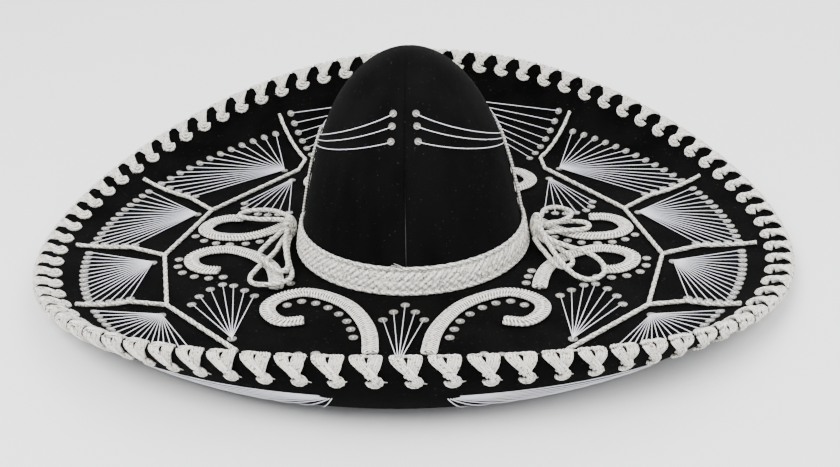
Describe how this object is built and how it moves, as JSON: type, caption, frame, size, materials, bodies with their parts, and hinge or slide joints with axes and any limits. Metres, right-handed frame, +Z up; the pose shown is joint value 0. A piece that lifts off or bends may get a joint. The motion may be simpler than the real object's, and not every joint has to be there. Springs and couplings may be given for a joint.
{
  "type": "sombrero",
  "caption": "Wide-brimmed black velvet sombrero with a tall round crown, curled brim, braided ivory hat band and ivory cord, thread and sequin trim.",
  "frame": {"origin": "centre of the flat underside of the brim, on the axis of the crown", "axes": "+Z up through the crown, -Y towards the front of the hat, +X towards its right as seen from the front"},
  "size_m": [0.6106, 0.5908, 0.1673],
  "materials": {
    "felt": "stiff black felt",
    "brim_velvet": "black velvet, short pile",
    "crown_velvet": "deep black velvet",
    "satin_lining": "black satin",
    "sweatband_leather": "thin dark leather",
    "spring_wire": "plain steel",
    "sequin": "translucent pearl cup",
    "silver_thread": "cool white twisted thread",
    "ivory_yarn": "ivory rayon yarn",
    "ivory_galloon": "ivory ribbed braid",
    "ivory_braid": "ivory herringbone braid",
    "ivory_cord": "ivory rayon cord"
  },
  "bodies": {
    "root": {"band_knot_left": "ivory_braid", "band_knot_right": "ivory_braid", "border_cord_left": "ivory_cord", "border_cord_right": "ivory_cord", "brim_core": "felt", "brim_top_velvet": "brim_velvet", "brim_under_velvet": "brim_velvet", "corner_fan_sequins_left": "sequin", "corner_fan_sequins_right": "sequin", "corner_fan_threads_left": "silver_thread", "corner_fan_threads_right": "silver_thread", "crown_galloon_left": "ivory_galloon", "crown_galloon_right": "ivory_galloon", "crown_lining": "satin_lining", "crown_sequins_left": "sequin", "crown_sequins_right": "sequin", "crown_shell": "felt", "crown_threads_left": "silver_thread", "crown_threads_right": "silver_thread", "crown_velvet_left": "crown_velvet", "crown_velvet_right": "crown_velvet", "divider_cords_left": "ivory_cord", "divider_cords_right": "ivory_cord", "end_panel_sequins": "sequin", "end_panel_threads": "silver_thread", "front_fan_sequins": "sequin", "front_fan_threads": "silver_thread", "front_scroll_left": "ivory_galloon", "front_scroll_right": "ivory_galloon", "hatband_braid": "ivory_braid", "hatband_lower_cord": "ivory_cord", "hatband_upper_cord": "ivory_cord", "inner_bow_right": "ivory_cord", "lower_bow_left": "ivory_cord", "lower_bow_right": "ivory_cord", "middle_bow_left": "ivory_cord", "middle_bow_right": "ivory_cord", "panel_sequins_left": "sequin", "panel_sequins_right": "sequin", "panel_threads_left": "silver_thread", "panel_threads_right": "silver_thread", "rear_scroll_left": "ivory_galloon", "rear_scroll_right": "ivory_galloon", "rim_edge_tape": "brim_velvet", "rim_stitches_back_left": "ivory_yarn", "rim_stitches_back_right": "ivory_yarn", "rim_stitches_front_left": "ivory_yarn", "rim_stitches_front_right": "ivory_yarn", "rim_wire": "spring_wire", "scroll_sequins_left": "sequin", "scroll_sequins_right": "sequin", "side_scroll_left": "ivory_galloon", "side_scroll_right": "ivory_galloon", "sweatband": "sweatband_leather", "underside_threads_left": "silver_thread", "underside_threads_right": "silver_thread", "upper_bow_left": "ivory_cord", "upper_bow_right": "ivory_cord", "upper_scroll_left": "ivory_galloon", "upper_scroll_right": "ivory_galloon"}
  },
  "joints": []
}
